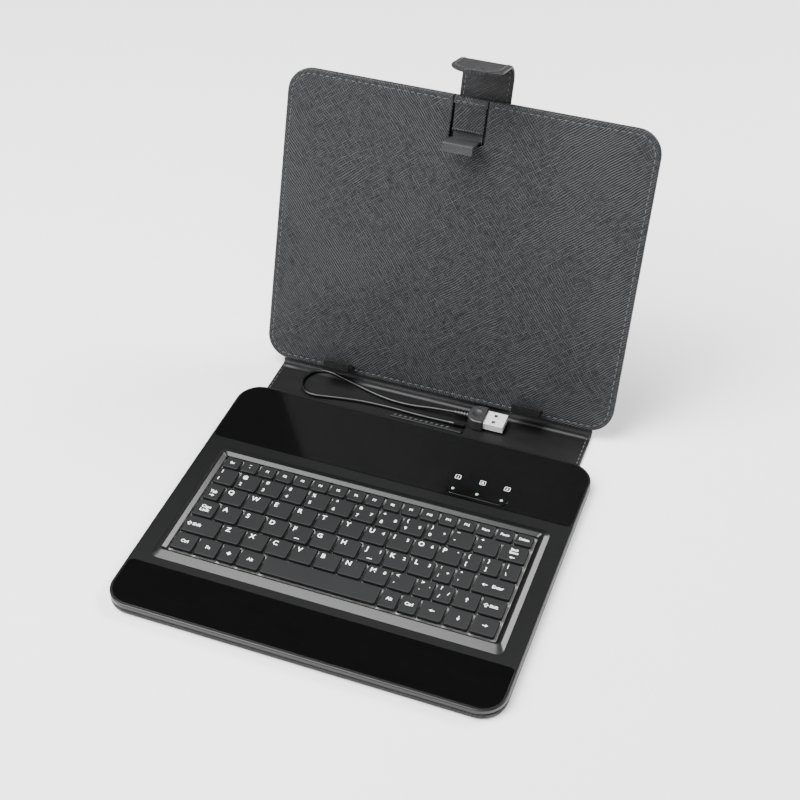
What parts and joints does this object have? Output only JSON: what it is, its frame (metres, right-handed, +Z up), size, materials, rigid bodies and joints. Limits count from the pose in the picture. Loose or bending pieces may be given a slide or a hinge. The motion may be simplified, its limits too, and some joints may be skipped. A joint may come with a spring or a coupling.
{
  "type": "tablet keyboard case",
  "caption": "Folding leatherette tablet case with a wired keyboard in the base, a soft spine, a clip-in cover with closing strap and rear stand, and a captive USB lead.",
  "frame": {"origin": "centre of the base's flat underside, on the table", "axes": "+X to the typist's right, +Y from the typist towards the cover, +Z up"},
  "size_m": [0.226, 0.2921, 0.2135],
  "materials": {
    "outer_leather": "fine grained black leatherette, satin",
    "grained_lining": "cross hatched dark grey leatherette, satin",
    "smooth_leather": "smooth near black leatherette, low sheen",
    "stiff_board": "grey board, matt",
    "plated_steel": "bright nickel plate",
    "deck_plastic": "fine textured charcoal plastic, matt",
    "gloss_plastic": "polished near black plastic",
    "key_plastic": "fine textured charcoal keys, matt",
    "led_lens": "clear pale green lens",
    "membrane_film": "milky film",
    "dome_rubber": "translucent white rubber",
    "circuit_board": "green solder mask",
    "elastic_band": "black woven elastic",
    "lead_rubber": "black satin rubber",
    "plug_plastic": "dark grey moulded plastic",
    "tongue_plastic": "white moulded plastic",
    "bracket_plastic": "smooth black plastic",
    "clip_plastic": "grained grey plastic"
  },
  "bodies": {
    "base": {"base_skin": "outer_leather", "base_board": "stiff_board", "magnet_keeper": "plated_steel", "bottom_shell": "deck_plastic", "top_shell": "deck_plastic", "gloss_strip": "gloss_plastic", "palm_strip": "gloss_plastic", "key_plate": "plated_steel", "key_membrane": "membrane_film", "key_domes": "dome_rubber", "controller_board": "circuit_board", "led_bezel": "gloss_plastic", "led_lenses": "led_lens", "housing_screws": "plated_steel"},
    "spine": {"spine_skin": "outer_leather", "spine_board": "stiff_board", "spine_lining": "smooth_leather", "cable_sleeve": "smooth_leather", "cable_boot": "lead_rubber", "keyboard_lead": "lead_rubber", "plug_relief": "lead_rubber", "plug_body": "plug_plastic", "plug_shell": "plated_steel", "plug_tongue": "tongue_plastic"},
    "cover": {"cover_skin": "outer_leather", "cover_board": "stiff_board", "cover_lining": "grained_lining", "left_hook": "bracket_plastic", "right_hook": "bracket_plastic", "hook_rivets": "plated_steel", "clip_flap": "grained_lining", "clip_elastic": "elastic_band", "strap_anchor": "outer_leather", "stand_flange": "outer_leather"},
    "top_clip": {"clip_slider": "clip_plastic"},
    "stand": {"stand_leaf": "outer_leather", "stand_board": "stiff_board"},
    "strap_riser": {"strap_riser": "outer_leather"},
    "strap_neck": {"strap_neck": "outer_leather"},
    "strap_tip": {"strap_tab": "outer_leather", "strap_magnet": "plated_steel"},
    "escape_key": {"escape_key": "key_plastic"},
    "function_row_keys": {"function_row_keys": "key_plastic"},
    "delete_key": {"delete_key": "key_plastic"},
    "number_row_keys": {"number_row_keys": "key_plastic"},
    "backspace_key": {"backspace_key": "key_plastic"},
    "tab_key": {"tab_key": "key_plastic"},
    "top_letter_keys": {"top_letter_keys": "key_plastic"},
    "caps_lock_key": {"caps_lock_key": "key_plastic"},
    "home_letter_keys": {"home_letter_keys": "key_plastic"},
    "enter_key": {"enter_key": "key_plastic"},
    "left_shift_key": {"left_shift_key": "key_plastic"},
    "bottom_letter_keys": {"bottom_letter_keys": "key_plastic"},
    "right_shift_key": {"right_shift_key": "key_plastic"},
    "left_modifier_keys": {"left_modifier_keys": "key_plastic"},
    "space_bar": {"space_bar": "key_plastic"},
    "right_modifier_keys": {"right_modifier_keys": "key_plastic"},
    "arrow_keys": {"arrow_keys": "key_plastic"}
  },
  "joints": [
    {"name": "spine_fold", "type": "hinge", "parent": "base", "child": "spine", "pos_m": [0, 0.099, 0.0005], "axis": [1, 0, 0], "range_deg": [0, 90]},
    {"name": "cover_fold", "type": "hinge", "parent": "spine", "child": "cover", "pos_m": [0, 0.1277, 0.0005], "axis": [1, 0, 0], "range_deg": [-71.5, 18.5]},
    {"name": "stand_swing", "type": "hinge", "parent": "cover", "child": "stand", "pos_m": [0, 0.16748, 0.11373], "axis": [1, 0, 0], "range_deg": [-30.3, 0]},
    {"name": "top_clip_slide", "type": "slide", "parent": "cover", "child": "top_clip", "axis": [0, 0.3173, 0.9483], "range_m": [0, 0.01], "stiffness_N_per_m": 150, "springref_m": -0.004, "deforming": ["clip_flap", "clip_elastic"]},
    {"name": "strap_fold", "type": "hinge", "parent": "cover", "child": "strap_riser", "pos_m": [0.007, 0.19135, 0.18599], "axis": [1, 0, 0], "range_deg": [-30, 75]},
    {"name": "strap_curl", "type": "hinge", "parent": "strap_riser", "child": "strap_neck", "pos_m": [0.007, 0.19671, 0.20202], "axis": [-1, 0, 0], "range_deg": [-10, 92]},
    {"name": "strap_tip_fold", "type": "hinge", "parent": "strap_neck", "child": "strap_tip", "pos_m": [0.007, 0.18175, 0.20645], "axis": [1, 0, 0], "range_deg": [-15, 90]},
    {"name": "escape_key_press", "type": "slide", "parent": "base", "child": "escape_key", "axis": [0, 0, -1], "range_m": [0, 0.0018], "stiffness_N_per_m": 275, "springref_m": -0.0005},
    {"name": "function_row_keys_press", "type": "slide", "parent": "base", "child": "function_row_keys", "axis": [0, 0, -1], "range_m": [0, 0.0018], "stiffness_N_per_m": 4125, "springref_m": -0.0005},
    {"name": "delete_key_press", "type": "slide", "parent": "base", "child": "delete_key", "axis": [0, 0, -1], "range_m": [0, 0.0018], "stiffness_N_per_m": 275, "springref_m": -0.0005},
    {"name": "number_row_keys_press", "type": "slide", "parent": "base", "child": "number_row_keys", "axis": [0, 0, -1], "range_m": [0, 0.0018], "stiffness_N_per_m": 3300, "springref_m": -0.0005},
    {"name": "backspace_key_press", "type": "slide", "parent": "base", "child": "backspace_key", "axis": [0, 0, -1], "range_m": [0, 0.0018], "stiffness_N_per_m": 275, "springref_m": -0.0005},
    {"name": "tab_key_press", "type": "slide", "parent": "base", "child": "tab_key", "axis": [0, 0, -1], "range_m": [0, 0.0018], "stiffness_N_per_m": 275, "springref_m": -0.0005},
    {"name": "top_letter_keys_press", "type": "slide", "parent": "base", "child": "top_letter_keys", "axis": [0, 0, -1], "range_m": [0, 0.0018], "stiffness_N_per_m": 3575, "springref_m": -0.0005, "deforming": ["key_domes"]},
    {"name": "caps_lock_key_press", "type": "slide", "parent": "base", "child": "caps_lock_key", "axis": [0, 0, -1], "range_m": [0, 0.0018], "stiffness_N_per_m": 275, "springref_m": -0.0005},
    {"name": "home_letter_keys_press", "type": "slide", "parent": "base", "child": "home_letter_keys", "axis": [0, 0, -1], "range_m": [0, 0.0018], "stiffness_N_per_m": 3025, "springref_m": -0.0005},
    {"name": "enter_key_press", "type": "slide", "parent": "base", "child": "enter_key", "axis": [0, 0, -1], "range_m": [0, 0.0018], "stiffness_N_per_m": 275, "springref_m": -0.0005},
    {"name": "left_shift_key_press", "type": "slide", "parent": "base", "child": "left_shift_key", "axis": [0, 0, -1], "range_m": [0, 0.0018], "stiffness_N_per_m": 275, "springref_m": -0.0005},
    {"name": "bottom_letter_keys_press", "type": "slide", "parent": "base", "child": "bottom_letter_keys", "axis": [0, 0, -1], "range_m": [0, 0.0018], "stiffness_N_per_m": 2750, "springref_m": -0.0005},
    {"name": "right_shift_key_press", "type": "slide", "parent": "base", "child": "right_shift_key", "axis": [0, 0, -1], "range_m": [0, 0.0018], "stiffness_N_per_m": 275, "springref_m": -0.0005},
    {"name": "left_modifier_keys_press", "type": "slide", "parent": "base", "child": "left_modifier_keys", "axis": [0, 0, -1], "range_m": [0, 0.0018], "stiffness_N_per_m": 1100, "springref_m": -0.0005},
    {"name": "space_bar_press", "type": "slide", "parent": "base", "child": "space_bar", "axis": [0, 0, -1], "range_m": [0, 0.0018], "stiffness_N_per_m": 275, "springref_m": -0.0005},
    {"name": "right_modifier_keys_press", "type": "slide", "parent": "base", "child": "right_modifier_keys", "axis": [0, 0, -1], "range_m": [0, 0.0018], "stiffness_N_per_m": 550, "springref_m": -0.0005},
    {"name": "arrow_keys_press", "type": "slide", "parent": "base", "child": "arrow_keys", "axis": [0, 0, -1], "range_m": [0, 0.0018], "stiffness_N_per_m": 1100, "springref_m": -0.0005}
  ]
}
